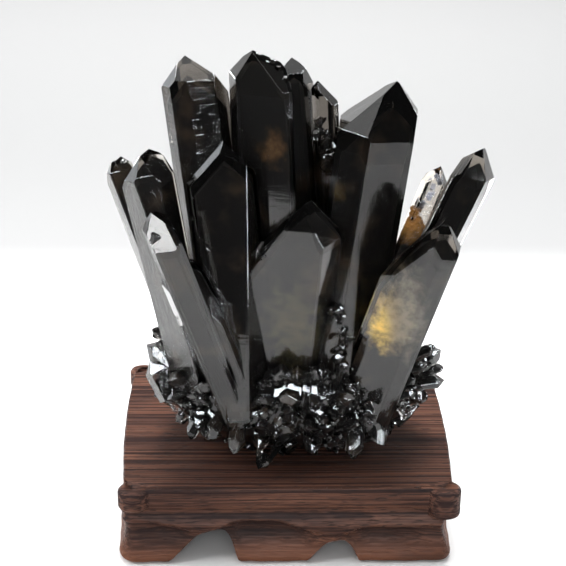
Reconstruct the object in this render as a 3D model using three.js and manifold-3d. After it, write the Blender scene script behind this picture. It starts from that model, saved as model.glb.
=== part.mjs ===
// Morion (black smoky) quartz cluster resting on a carved hardwood stand.
// Millimetres, +Z up, +X right, +Y back. Sizes are from the middle of the stand's footprint on the floor.
// The finished object is moved sideways a little, so that the origin is under the middle of its whole width.
// Two pieces: the crystals, which grew together into one solid, and the stand that they rest on.

import * as THREE from 'three';
import { ConvexGeometry } from 'three/addons/geometries/ConvexGeometry.js';
import { mergeVertices } from 'three/addons/utils/BufferGeometryUtils.js';
import Module from 'manifold-3d';

const wasm = await Module();
wasm.setup();

// ---------------------------------------------------------------- driving dimensions

const BEYOND = 120;                   // more than the stand's width, for cuts that go right through
const CENTRE_SHIFT = -3.3;            // the crystals reach further to the right than to the left

// Stand
const STAND_TOP = 27;                 // height of the flat top that the cluster rests on
const SLAB = { halfWidth: 50.1, halfDepth: 36.3, bottom: 19.5, round: 1.3, bulge: 1.7, corner: 4 };
// The apron under the slab, from its neck down to the floor. It was carved by hand and its sides differ.
const APRON = [
  { height: 21, left: -48.6, right: 45.8, halfDepth: 34.6 },
  { height: 17.5, left: -50.2, right: 46, halfDepth: 35 },
  { height: 12.5, left: -51.2, right: 47.3, halfDepth: 36.6 },
  { height: 8, left: -51.8, right: 49.4, halfDepth: 37.9 },
  { height: 3, left: -52.2, right: 51, halfDepth: 38.4 },
  { height: 0, left: -51.3, right: 50.8, halfDepth: 37.8 },
];
const APRON_CORNER = 5;
// A rounded lug at each corner of the slab.
const EARS = [
  { x: -47.9, y: -36.2, halfWidth: 4.4, halfDepth: 3.6, bottom: 19.2, top: 26.6 },
  { x: 48.6, y: -36.2, halfWidth: 4.7, halfDepth: 3.8, bottom: 16.2, top: 26.6 },
  { x: -47.9, y: 36.4, halfWidth: 4.3, halfDepth: 3.6, bottom: 19.6, top: 26.6 },
  { x: 48.2, y: 36.2, halfWidth: 4.4, halfDepth: 3.6, bottom: 18.4, top: 26.4 },
];
const EAR_ROUND = 1.8;
const EAR_STEPS = 3;
const EAR_SIDES = 14;
const GROOVE = { x: 46.2, y: 34.6, length: 24, halfWidth: 1.6, angle: 22 };   // cut between slab and lug
const CAVITY = { halfWidth: 42, halfDepth: 30, height: 13, corner: 5 };
// Arches between the feet, as smooth curves of [distance along the side, height]; both ends are on the floor.
const FRONT_ARCHES = [
  [[-37.8, 0], [-35.6, 2.1], [-31.2, 6.4], [-27.8, 10], [-24, 11.8],
    [-20.8, 11.8], [-18.6, 10], [-16.7, 6], [-15, 0]],
  [[5.2, 0], [7.9, 3], [11.5, 6.6], [13.9, 8.1], [16.4, 8.3], [18.3, 7.4], [20.9, 4.5], [22.6, 0]],
];
const SIDE_ARCH = [[-19, 0], [-13, 5.2], [-6, 9.8], [4, 9.6], [12, 5], [15.5, 0]];
const ARCH_STEPS = 14;
const OUTLINE_STEPS = 6;

// Mound of intergrown quartz under the crystals: half width and half depth at each height above the stand.
const MOUND_CENTRE = { x: 2, y: -3 };
const MOUND_ASPECT = 0.62;            // depth over width
const MOUND_PROFILE = [[20, 0], [30, 5], [37, 11], [40, 19], [39, 27], [32, 33], [18, 36]];
const MOUND_SIDES = 18;

// Quartz: the faces that close a crystal lean 52 degrees from square to its length.
const CAP_SLOPE = 52;

// Big crystals. tip and foot are the ends of the long axis. sides are the distances from the axis to the
// six prism faces, the first facing the front (-Y) and the rest counted towards +X. caps are how far below
// the tip each closing face crosses the axis. roll turns all the faces about the axis, in degrees. taper
// leans single prism faces, slope sets single closing faces, and turn swings single closing faces about
// the axis, all in degrees.
const BIG_CRYSTALS = [
  { name: 'back left', tip: [-30.5, 6, 155], foot: [-16.5, -7, 45], roll: 2,
    sides: [6.5, 9, 8.5, 9, 7.5, 8.5], caps: [4, -0.5, 5.5, 0, 3, 0.5], slope: [45, 50, 52, 52, 52, 53] },
  { name: 'back centre', tip: [-9.5, -1, 158.5], foot: [-6, -9, 41.5], roll: -18,
    sides: [7.5, 11.5, 7, 9, 9.5, 8], caps: [0, 4, 0, 5, -0.5, 0.5], slope: [60, 39, 52, 52, 52, 52] },
  { name: 'behind centre', tip: [-1, 9, 152.5], foot: [8, -5, 46], roll: 6,
    sides: [5.5, 5.5, 6.5, 7, 7, 7], caps: [1, -0.5, 3.5, 4, 5, 1], slope: [48, 52, 52, 52, 52, 52] },
  { name: 'centre splinter', tip: [8.5, 5, 144.5], foot: [13, -7, 58], roll: -6,
    sides: [3.5, 5, 4, 5, 3, 2], caps: [-1, 1.5, 2, 0, 0, 0.5] },
  { name: 'right back', tip: [28.5, -3, 149], foot: [16, -11.5, 46], roll: 23,
    sides: [11.5, 9.5, 11, 12, 12.5, 14.5], caps: [1.5, -0.5, 0.5, 0, 4.5, 1.5],
    slope: [54, 50, 52, 52, 45, 45] },
  { name: 'far right', tip: [58, -3, 127], foot: [24, -11, 46], roll: 2,
    sides: [6.5, 5.5, 9, 6, 4, 9.5], caps: [1.5, 2.5, 0, 0, 1.5, -0.5] },
  { name: 'clear right', tip: [46, 2, 118.5], foot: [20, -7, 48], roll: -3,
    sides: [3.5, 4, 4.5, 4.5, 3, 4.5], caps: [-0.5, 1.5, 1.5, 0, 1, 1] },
  { name: 'front right', tip: [43.5, -29, 115.5], foot: [23, -19, 38.5], roll: 18,
    sides: [5.5, 7.5, 9, 4, 11.5, 7.5], caps: [1.5, 0.5, 0.5, 3.5, 1.5, 0.5],
    slope: [61, 52, 52, 52, 62, 68], turn: [0, 0, 0, 0, 0, -18] },
  { name: 'front centre', tip: [3, -25, 123], foot: [3.5, -18, 45], roll: -11,
    sides: [3, 8, 12.5, 9, 17, 17], caps: [-0.5, 2.5, 2, 0, 6.5, 2],
    slope: [78, 66, 52, 52, 52, 62], taper: [0, -3, 0, 0, 0, -1] },
  { name: 'mid left', tip: [-21, -13, 132.5], foot: [-12, -15.5, 46], roll: -9,
    sides: [5, 9, 8, 8, 8, 10.5], caps: [-1, -7, 0, 0, 2.5, 1],
    slope: [49, 52, 52, 52, 52, 49], turn: [24, 0, 0, 0, 0, 7] },
  { name: 'left', tip: [-43.5, -7, 129], foot: [-29.5, -15, 46], roll: 9,
    sides: [6, 6, 7, 6, 7, 8.5], caps: [0, 3.5, -2, 0, 3.5, 0], taper: [5, 0, 0, 0, 0, -5] },
  { name: 'far left', tip: [-52.5, -1, 123], foot: [-26.5, -9, 46], roll: -2,
    sides: [4, 4, 4, 4, 5, 4], caps: [0, 1.5, 0, 0, 2.5, 0] },
  { name: 'front left upper', tip: [-40, -30, 118.5], foot: [-16, -19, 42.5], roll: -13,
    sides: [7, 8, 3.5, 6, 6.5, 4.5], caps: [2, 0, 2.5, -1, 0.5, 1] },
  { name: 'front left lower', tip: [-34, -26, 102.5], foot: [-14, -19, 41.5], roll: -6,
    sides: [6, 9, 6, 6, 6, 6.5], caps: [0, 2, 1, 0, 1, 1], slope: [51, 68, 52, 52, 52, 52] },
  { name: 'rear left', tip: [-29, 23, 118], foot: [-12, -1, 46], roll: 14,
    sides: [7, 6, 7, 7.5, 6, 7], caps: [1, 0, 2, 0, 1, 2] },
  { name: 'rear centre left', tip: [-12, 29, 132], foot: [-5, 1, 46], roll: -8,
    sides: [8, 8.5, 8, 8, 7.5, 8.5], caps: [2, 0, 1, 0, 3, 0] },
  { name: 'rear centre right', tip: [11, 28, 120], foot: [4, 1, 46], roll: 20,
    sides: [7, 6.5, 7, 6, 7, 7.5], caps: [0, 1, 0, 2, 0, 1] },
  { name: 'rear right', tip: [32, 22, 126], foot: [13, -1, 46], roll: 5,
    sides: [8, 8, 7.5, 8, 9, 7.5], caps: [1, 0, 3, 0, 1, 0] },
  { name: 'low rear left', tip: [-22, 30, 88], foot: [-12, 5, 46], roll: 25,
    sides: [4, 4.5, 4, 4, 4.5, 4], caps: [0, 1, 0, 0, 1, 0] },
  { name: 'low rear right', tip: [23, 31, 86], foot: [13, 5, 44], roll: 11,
    sides: [4.5, 4, 4.5, 4, 4, 4.5], caps: [0, 0, 1, 0, 1, 0] },
];

// Druse: rings of small crystals that stick out all round the mound. height is above the stand, lift is how
// far they point up (degrees), and reach is how far their tips stand clear of the mound.
const DRUSE_SEED = 12;
const DRUSE_RINGS = [
  { height: 3, count: 17, lift: -4, reach: 4, radius: 2.3 },
  { height: 9, count: 22, lift: 4, reach: 4.8, radius: 2.9 },
  { height: 17, count: 25, lift: 16, reach: 5.5, radius: 3.1 },
  { height: 26, count: 22, lift: 34, reach: 5.5, radius: 3 },
  { height: 32, count: 17, lift: 58, reach: 6.5, radius: 3 },
];
const OVAL_SPACING = 0.12;            // keeps the spacing even round the oval mound
const DRUSE_ROOT = 6;                 // how deep a small crystal is rooted in the mound
const DRUSE_SPREAD = { turn: 34, lift: 24, length: 0.4, radius: 0.35 };

// Small crystals that stand out from the druse, each from a foot to a tip with its half width.
const LOOSE_POINTS = [
  { tip: [-9.5, -29, 31], foot: [2, -20, 41], radius: 2.9 },       // points down to the front
  { tip: [-46, -5, 52], foot: [-34, -7, 47], radius: 4.2 },        // left lump
  { tip: [-45, -3, 60], foot: [-34, -7, 53], radius: 3.6 },
  { tip: [-40, -4, 65], foot: [-33, -7, 51], radius: 3.2 },
  { tip: [-31, -24, 36], foot: [-25, -17, 46], radius: 2 },
  { tip: [49.5, -5, 57.5], foot: [36, -7, 51], radius: 2.6 },      // right edge
  { tip: [50, -6, 52.5], foot: [36, -7, 48], radius: 1.9 },
  { tip: [51.5, -4, 46], foot: [37, -7, 46], radius: 2.3 },
  { tip: [15.5, -27, 66.5], foot: [13, -22, 51], radius: 1.5 },    // slender, between two front crystals
  { tip: [19, -20, 80], foot: [16, -15, 58], radius: 3.4 },
  { tip: [-24, -20, 78], foot: [-17, -14, 54], radius: 2.6 },      // against the left crystals
  { tip: [9.5, 6, 126], foot: [13.5, 0, 96], radius: 3 },          // broken splinters high in the middle
  { tip: [45, -20, 68], foot: [34, -17, 60], radius: 1.8 },
  { tip: [-16, -30.5, 34], foot: [-15, -19, 43], radius: 3.6 },    // round the feet of the front crystals
  { tip: [-25, -27.5, 38], foot: [-19, -18, 45], radius: 3.2 },
  { tip: [20, -31, 33], foot: [21, -19, 42], radius: 4 },
  { tip: [30, -28.5, 36], foot: [25, -18, 44], radius: 3.4 },
];

const QUARTZ = { color: 0x17130f, roughness: 0.08, metalness: 0 };
const HARDWOOD = { color: 0x57352a, roughness: 0.55, metalness: 0 };

// ---------------------------------------------------------------- helpers

const degrees = THREE.MathUtils.degToRad;

// A closed three.js geometry as a solid that can be joined and cut.
function solid(geometry) {
  const bare = geometry.clone();
  bare.deleteAttribute('normal');
  bare.deleteAttribute('uv');
  const merged = mergeVertices(bare, 1e-4);
  const mesh = new wasm.Mesh({
    numProp: 3,
    vertProperties: new Float32Array(merged.attributes.position.array),
    triVerts: new Uint32Array(merged.index.array),
  });
  return new wasm.Manifold(mesh);
}

// A solid back as a named mesh with its material.
function namedMesh(name, manifold, finish) {
  const result = manifold.getMesh();
  const geometry = new THREE.BufferGeometry();
  geometry.setAttribute('position', new THREE.BufferAttribute(new Float32Array(result.vertProperties), 3));
  geometry.setIndex(new THREE.BufferAttribute(new Uint32Array(result.triVerts), 1));
  geometry.translate(CENTRE_SHIFT, 0, 0);
  geometry.computeVertexNormals();
  const mesh = new THREE.Mesh(geometry, new THREE.MeshStandardMaterial(finish));
  mesh.name = name;
  return mesh;
}

function joined(solids) {
  return solids.reduce((whole, piece) => whole.add(piece));
}

// The same row of random numbers each time, from 0 to 1.
function randomRow(seed) {
  let state = seed >>> 0;
  return () => {
    state = (Math.imul(state, 1664525) + 1013904223) >>> 0;
    return state / 4294967296;
  };
}

// ---------------------------------------------------------------- crystals

// Where three planes meet, or null if they don't meet in one point.
function meeting(a, b, c) {
  const bc = b.normal.clone().cross(c.normal);
  const det = a.normal.dot(bc);
  if (Math.abs(det) < 1e-6) return null;
  const ca = c.normal.clone().cross(a.normal);
  const ab = a.normal.clone().cross(b.normal);
  return bc.multiplyScalar(a.reach).add(ca.multiplyScalar(b.reach)).add(ab.multiplyScalar(c.reach))
    .divideScalar(det);
}

// The flat faces that bound a six-sided quartz crystal: prism faces, closing faces and the foot.
function crystalFaces({ tip, foot, roll, sides, caps, taper = [], slope = [], turn = [] }) {
  const top = new THREE.Vector3(...tip);
  const bottom = new THREE.Vector3(...foot);
  const axis = top.clone().sub(bottom).normalize();
  const front = new THREE.Vector3(0, -1, 0).addScaledVector(axis, axis.y).normalize();
  const outward = (angle) => front.clone().applyAxisAngle(axis, angle);
  const face = (normal, point) => ({ normal, reach: normal.dot(point) });
  const faces = [];
  for (let side = 0; side < 6; side += 1) {
    const around = roll + 60 * side;
    const prism = outward(degrees(around));
    const lean = degrees(taper[side] ?? 0);
    const prismNormal = prism.clone().multiplyScalar(Math.cos(lean)).addScaledVector(axis, Math.sin(lean));
    faces.push(face(prismNormal, top.clone().addScaledVector(prism, sides[side])));
    const cap = outward(degrees(around + (turn[side] ?? 0)));
    const tilt = degrees(slope[side] ?? CAP_SLOPE);
    const capNormal = cap.multiplyScalar(Math.sin(tilt)).addScaledVector(axis, Math.cos(tilt));
    faces.push(face(capNormal, top.clone().addScaledVector(axis, -caps[side])));
  }
  faces.push(face(axis.clone().negate(), bottom));
  return faces;
}

// The crystal as a solid: the corners where its faces meet, and the flat-sided body that spans them.
function crystal(shape) {
  const faces = crystalFaces(shape);
  const corners = [];
  for (let i = 0; i < faces.length; i += 1) {
    for (let j = i + 1; j < faces.length; j += 1) {
      for (let k = j + 1; k < faces.length; k += 1) {
        const point = meeting(faces[i], faces[j], faces[k]);
        const inside = point && faces.every((f) => f.normal.dot(point) <= f.reach + 1e-5);
        if (inside && !corners.some((c) => c.distanceTo(point) < 1e-3)) corners.push(point);
      }
    }
  }
  return solid(new ConvexGeometry(corners));
}

// A small regular crystal from foot to tip.
function smallCrystal(tip, foot, radius, roll) {
  const sides = new Array(6).fill(radius);
  return crystal({ tip, foot, roll, sides, caps: new Array(6).fill(0) });
}

// The mound's half width at a height above the stand.
function moundHalfWidth(height) {
  for (let i = 1; i < MOUND_PROFILE.length; i += 1) {
    const [widthLow, low] = MOUND_PROFILE[i - 1];
    const [widthHigh, high] = MOUND_PROFILE[i];
    if (height <= high) return THREE.MathUtils.mapLinear(height, low, high, widthLow, widthHigh);
  }
  return 0;
}

function mound() {
  const top = MOUND_PROFILE.at(-1)[1];
  const profile = [[0, 0], ...MOUND_PROFILE, [0, top]];
  const geometry = new THREE.LatheGeometry(profile.map((p) => new THREE.Vector2(...p)), MOUND_SIDES);
  geometry.rotateX(Math.PI / 2);
  geometry.scale(1, MOUND_ASPECT, 1);
  geometry.translate(MOUND_CENTRE.x, MOUND_CENTRE.y, STAND_TOP);
  return solid(geometry);
}

// Rings of small crystals that point out of the mound.
function druse() {
  const random = randomRow(DRUSE_SEED);
  const spread = (amount) => (2 * random() - 1) * amount;
  const pieces = [];
  for (const ring of DRUSE_RINGS) {
    const halfWidth = moundHalfWidth(ring.height);
    for (let i = 0; i < ring.count; i += 1) {
      const even = degrees((360 * (i + 0.5 * random())) / ring.count);
      const around = even + OVAL_SPACING * Math.sin(2 * even);
      const root = new THREE.Vector3(
        MOUND_CENTRE.x + halfWidth * Math.cos(around),
        MOUND_CENTRE.y + halfWidth * MOUND_ASPECT * Math.sin(around),
        STAND_TOP + ring.height,
      );
      const outward = Math.atan2(Math.sin(around), MOUND_ASPECT * Math.cos(around));
      const heading = outward + degrees(spread(DRUSE_SPREAD.turn));
      const lift = degrees(ring.lift + spread(DRUSE_SPREAD.lift));
      const direction = new THREE.Vector3(
        Math.cos(heading) * Math.cos(lift), Math.sin(heading) * Math.cos(lift), Math.sin(lift),
      );
      const reach = ring.reach * (1 + spread(DRUSE_SPREAD.length));
      const radius = ring.radius * (1 + spread(DRUSE_SPREAD.radius));
      const tip = root.clone().addScaledVector(direction, reach);
      const foot = root.clone().addScaledVector(direction, -DRUSE_ROOT);
      pieces.push(smallCrystal(tip.toArray(), foot.toArray(), radius, 60 * random()));
    }
  }
  return pieces;
}

// Everything that grew together, cut off level where it rests on the stand.
function cluster() {
  const points = LOOSE_POINTS.map(({ tip, foot, radius }, i) => smallCrystal(tip, foot, radius, 17 * i));
  const whole = joined([mound(), ...BIG_CRYSTALS.map(crystal), ...druse(), ...points]);
  const below = new THREE.BoxGeometry(2 * BEYOND, 2 * BEYOND, BEYOND);
  below.translate(0, 0, STAND_TOP - BEYOND / 2);
  return whole.subtract(solid(below));
}

// ---------------------------------------------------------------- stand

// A level outline with round corners; its left and right sides bulge out a little.
function levelOutline({ left, right, halfDepth, corner, bulge = 0, height }) {
  const shape = new THREE.Shape();
  const [l, r, d, c] = [left + bulge, right - bulge, halfDepth, corner];
  shape.moveTo(l + c, -d);
  shape.lineTo(r - c, -d);
  shape.quadraticCurveTo(r, -d, r, -d + c);
  shape.quadraticCurveTo(r + 2 * bulge, 0, r, d - c);
  shape.quadraticCurveTo(r, d, r - c, d);
  shape.lineTo(l + c, d);
  shape.quadraticCurveTo(l, d, l, d - c);
  shape.quadraticCurveTo(l - 2 * bulge, 0, l, -d + c);
  shape.quadraticCurveTo(l, -d, l + c, -d);
  return shape.getPoints(OUTLINE_STEPS).map((p) => new THREE.Vector3(p.x, p.y, height));
}

// A body that spans level outlines.
function spanning(...outlines) {
  return solid(new ConvexGeometry(outlines.flat()));
}

function slab() {
  const { halfWidth, halfDepth, bottom, round, bulge, corner } = SLAB;
  const level = (inset, height) => levelOutline({
    left: inset - halfWidth - bulge,
    right: halfWidth + bulge - inset,
    halfDepth: halfDepth - inset,
    corner,
    bulge,
    height,
  });
  return spanning(level(round, bottom), level(0, bottom + round), level(0, STAND_TOP - round),
    level(round, STAND_TOP));
}

// The lugs at the corners: short upright rounded posts, half sunk in the slab.
function ears() {
  return EARS.map(({ x, y, halfWidth, halfDepth, bottom, top }) => {
    const flat = 1 - EAR_ROUND / halfDepth;
    const profile = new THREE.Path();
    profile.moveTo(0, bottom);
    profile.lineTo(flat, bottom);
    profile.quadraticCurveTo(1, bottom, 1, bottom + EAR_ROUND);
    profile.lineTo(1, top - EAR_ROUND);
    profile.quadraticCurveTo(1, top, flat, top);
    profile.lineTo(0, top);
    const post = new THREE.LatheGeometry(profile.getPoints(EAR_STEPS), EAR_SIDES);
    post.rotateX(Math.PI / 2);
    post.scale(halfWidth, halfDepth, 1);
    post.translate(x, y, 0);
    return solid(post);
  });
}

// V-shaped grooves that part the lugs from the top of the slab.
function grooves() {
  const cuts = [];
  for (const across of [-1, 1]) {
    for (const along of [-1, 1]) {
      const bar = new THREE.CylinderGeometry(GROOVE.halfWidth, GROOVE.halfWidth, GROOVE.length, 4);
      bar.rotateZ(Math.PI / 2);
      bar.rotateZ(degrees(across * along * -GROOVE.angle));
      bar.translate(across * GROOVE.x, along * GROOVE.y, STAND_TOP);
      cuts.push(solid(bar));
    }
  }
  return cuts;
}

function apron() {
  const levels = APRON.map((level) => levelOutline({ ...level, corner: APRON_CORNER }));
  return levels.slice(1).map((level, i) => spanning(levels[i], level));
}

// The hollow underside.
function cavity() {
  const { halfWidth, halfDepth, corner } = CAVITY;
  const level = (height) => levelOutline({ left: -halfWidth, right: halfWidth, halfDepth, corner, height });
  return spanning(level(-1), level(CAVITY.height));
}

// A tunnel along Y with the arch's outline, right through the stand.
function archTunnel(points) {
  const curve = new THREE.SplineCurve(points.map(([along, height]) => new THREE.Vector2(along, height)));
  const outline = curve.getPoints(ARCH_STEPS);
  const [start, end] = [points[0][0], points.at(-1)[0]];
  const shape = new THREE.Shape([new THREE.Vector2(start, -1), ...outline, new THREE.Vector2(end, -1)]);
  const geometry = new THREE.ExtrudeGeometry(shape, { depth: BEYOND, bevelEnabled: false });
  geometry.translate(0, 0, -BEYOND / 2);
  geometry.rotateX(Math.PI / 2);
  return geometry;
}

function stand() {
  const whole = joined([slab(), ...ears(), ...apron()]);
  const frontTunnels = FRONT_ARCHES.map((arch) => solid(archTunnel(arch)));
  const sideTunnel = archTunnel(SIDE_ARCH);
  sideTunnel.rotateZ(Math.PI / 2);
  const cuts = joined([cavity(), ...frontTunnels, solid(sideTunnel), ...grooves()]);
  return whole.subtract(cuts);
}

// ---------------------------------------------------------------- assembly

const object = new THREE.Group();
object.add(namedMesh('wooden_stand', stand(), HARDWOOD));
object.add(namedMesh('crystal_cluster', cluster(), QUARTZ));

export default object;
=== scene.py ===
"""Looks for a morion (black smoky) quartz cluster on a carved hardwood stand.

Sizes are written in millimetres from the middle of the stand's footprint, and turned into metres in the
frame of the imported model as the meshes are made.
"""

import itertools
import math

import bpy
import numpy as np
from mathutils import Matrix, Vector

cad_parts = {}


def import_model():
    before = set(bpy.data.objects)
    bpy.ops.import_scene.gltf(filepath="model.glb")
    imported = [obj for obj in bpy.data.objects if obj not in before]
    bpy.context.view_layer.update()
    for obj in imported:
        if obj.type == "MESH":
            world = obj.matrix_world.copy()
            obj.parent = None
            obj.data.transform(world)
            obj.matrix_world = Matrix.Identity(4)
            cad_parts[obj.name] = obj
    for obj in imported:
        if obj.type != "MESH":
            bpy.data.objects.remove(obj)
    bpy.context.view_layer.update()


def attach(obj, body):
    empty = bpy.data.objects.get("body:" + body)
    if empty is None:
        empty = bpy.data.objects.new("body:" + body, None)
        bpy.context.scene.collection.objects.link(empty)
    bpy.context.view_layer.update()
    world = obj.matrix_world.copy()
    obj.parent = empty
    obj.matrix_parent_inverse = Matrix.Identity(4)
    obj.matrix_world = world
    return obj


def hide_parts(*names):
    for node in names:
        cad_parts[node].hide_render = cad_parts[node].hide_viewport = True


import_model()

# ---------------------------------------------------------------- sizes

MM = 0.001
CENTRE_SHIFT = -3.3                  # the frame's origin is under the middle of the whole width
STAND_TOP = 27.0

CAP_SLOPE = 52.0                     # lean of a quartz crystal's closing faces

# Big crystals: tip, foot, roll, distance from the axis to each prism face, how far below the tip each
# closing face crosses the axis, and the odd slope, turn and taper of single faces (degrees).
BIG = {
    "A": dict(tip=(-30.5, 6, 155), foot=(-16.5, -7, 45), roll=2, sides=(6.5, 9, 8.5, 9, 7.5, 8.5),
              caps=(4, -0.5, 5.5, 0, 3, 0.5), slope={0: 45, 1: 50, 5: 53}, extra=((-10, 6.64, 0),)),
    "B": dict(tip=(-9.5, -1, 158.5), foot=(-6, -9, 41.5), roll=-18, sides=(7.5, 11, 7, 9, 9.5, 8),
              caps=(0, 4, 0, 5, -0.5, 0.5), slope={0: 60, 1: 39}, taper={1: 4}),
    "C": dict(tip=(-1, 9, 152.5), foot=(8, -5, 46), roll=6, sides=(5.5, 5.5, 6.5, 7, 7, 7),
              caps=(1, -0.5, 3.5, 4, 5, 1), slope={0: 48}),
    "C2": dict(tip=(8.5, 5, 144.5), foot=(13, -7, 58), roll=-6, sides=(3.5, 5, 4, 5, 3, 2),
               caps=(-1, 1.5, 2, 0, 0, 0.5)),
    "D": dict(tip=(28.5, -3, 149), foot=(16, -11.5, 46), roll=23, sides=(11.5, 9.5, 11, 12, 12.5, 14.5),
              caps=(1.5, -0.5, 0.5, 0, 4.5, 1.5), slope={0: 54, 1: 50, 4: 45, 5: 45}),
    "E": dict(tip=(58, -3, 127), foot=(24, -11, 46), roll=2, sides=(6.5, 5.5, 9, 6, 4, 9.5),
              caps=(1.5, 2.5, 0, 0, 1.5, -0.5)),
    "F": dict(tip=(46, 2, 118.5), foot=(20, -7, 48), roll=-3, sides=(3.5, 4, 4.5, 4.5, 3, 4.5),
              caps=(-0.5, 1.5, 1.5, 0, 1, 1)),
    "G": dict(tip=(43.5, -29, 115.5), foot=(23, -19, 38.5), roll=18, sides=(5.5, 7.5, 9, 4, 11.5, 7.5),
              caps=(1.5, 0.5, 0.5, 3.5, 1.5, 0.5), slope={0: 61, 4: 62, 5: 68}, turn={5: -18},
              extra=((-31, 4.4, 0),)),
    "H": dict(tip=(3, -25, 123), foot=(3.5, -18, 45), roll=-11, sides=(3, 8, 12.5, 9, 17, 17),
              caps=(-0.5, 2.5, 2, 0, 6.5, 2), slope={0: 78, 1: 66, 5: 62}, taper={1: -3, 5: -1}),
    "I": dict(tip=(-21, -13, 132.5), foot=(-12, -15.5, 46), roll=-9, sides=(3.4, 9, 8, 8, 8, 10.5),
              caps=(-1, -7, 0, 0, 2.5, 1), slope={0: 49, 5: 49}, turn={0: 24, 5: 7}, taper={0: 7}),
    "J": dict(tip=(-43.5, -7, 129), foot=(-29.5, -15, 46), roll=9, sides=(6, 6, 7, 6, 7, 8.5),
              caps=(0, 3.5, -2, 0, 3.5, 0), taper={0: 5, 5: -5}),
    "K": dict(tip=(-52.5, -1, 123), foot=(-26.5, -9, 46), roll=-2, sides=(4, 4, 4, 4, 5, 4),
              caps=(0, 1.5, 0, 0, 2.5, 0)),
    "La": dict(tip=(-40, -30, 118.5), foot=(-16, -19, 42.5), roll=-13, sides=(7, 8, 3.5, 6, 6.5, 4.5),
               caps=(2, 0, 2.5, -1, 0.5, 1)),
    "Lb": dict(tip=(-34, -26, 102.5), foot=(-14, -19, 41.5), roll=-6, sides=(6, 9, 6, 6, 6, 6.5),
               caps=(0, 2, 1, 0, 1, 1), slope={0: 51, 1: 68}),
    "M": dict(tip=(-29, 23, 118), foot=(-12, -1, 46), roll=14, sides=(7, 6, 7, 7.5, 6, 7),
              caps=(1, 0, 2, 0, 1, 2)),
    "N": dict(tip=(-12, 29, 132), foot=(-5, 1, 46), roll=-8, sides=(8, 8.5, 8, 8, 7.5, 8.5),
              caps=(2, 0, 1, 0, 3, 0)),
    "O": dict(tip=(11, 28, 120), foot=(4, 1, 46), roll=20, sides=(7, 6.5, 7, 6, 7, 7.5),
              caps=(0, 1, 0, 2, 0, 1)),
    "P": dict(tip=(32, 22, 126), foot=(13, -1, 46), roll=5, sides=(8, 8, 7.5, 8, 9, 7.5),
              caps=(1, 0, 3, 0, 1, 0)),
    "Q": dict(tip=(-22, 30, 88), foot=(-12, 5, 46), roll=25, sides=(4, 4.5, 4, 4, 4.5, 4),
              caps=(0, 1, 0, 0, 1, 0)),
    "R": dict(tip=(23, 31, 86), foot=(13, 5, 44), roll=11, sides=(4.5, 4, 4.5, 4, 4, 4.5),
              caps=(0, 0, 1, 0, 1, 0)),
}

# Mound of intergrown quartz under the crystals: half width and height above the stand.
MOUND_CENTRE = (2.0, -3.0)
MOUND_ASPECT = 0.62
MOUND_PROFILE = ((20, 0), (30, 5), (37, 11), (40, 19), (39, 27), (32, 33), (18, 36))
MOUND_SIDES = 18

DRUSE_SEED = 12
# Rings of small crystals: height above the stand, how many, lift in degrees, reach and half width.
DRUSE_RINGS = ((3, 17, -4, 4, 2.3), (9, 22, 4, 4.8, 2.9), (17, 25, 16, 5.5, 3.1), (26, 22, 34, 5.5, 3),
               (32, 17, 58, 6.5, 3))
OVAL_SPACING = 0.12
RING_NARROW = 0.72
DRUSE_ROOT = 6.0
# Small crystals with a half width outside these two are clear right through.
SMALL_HEART, LARGE_HEART = 0.9, 3.3
SMALL_INSET = (0.5, 0.9, 0.4)        # how far inside its sides, caps and foot a small crystal's heart lies
CLEAR_KEY = "F"                      # the clear crystal, which is a piece of its own

# The finest crystals: how many cover the mound, and those that grow in the seams between the big crystals,
# as the ends of each seam, how many, how far they stray from it, their reach and half width.
FINE_COUNT = 430
SEAMS = (
    ((-23, -20, 90), (-17, -21, 76), 30, 2.0, 2.6, 1.0),
    ((-17, -21, 76), (-10, -22, 60), 34, 2.2, 3.0, 1.2),
    ((-12, -17, 108), (-9, -21, 98), 18, 1.5, 2.2, 0.9),
    ((13, -22, 83), (17, -22, 70), 30, 1.8, 2.6, 1.0),
    ((14, -24, 69), (19, -25, 54), 22, 1.8, 2.8, 1.1),
    ((8.5, 1, 132), (13, -4, 118), 24, 1.6, 2.6, 1.2),
    ((-38, -7, 44), (-38, -5, 64), 34, 2.0, 3.2, 1.5),
    ((-30, -17, 44), (-24, -22, 40), 26, 2.2, 3.2, 1.3),
    ((-29.5, -15.5, 110), (-24.5, -20, 99), 16, 0.9, 1.5, 0.65),
    ((-8, -25, 60), (11, -25, 60), 44, 2.2, 3.0, 1.2),
    ((-10, -27, 50), (24, -26, 50), 64, 4.5, 3.4, 1.3),
    ((34, -20, 52), (40, -8, 46), 26, 2.4, 3.2, 1.3),
    ((38, -14, 62), (42, -8, 52), 14, 1.8, 3.0, 1.2),
)

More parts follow.
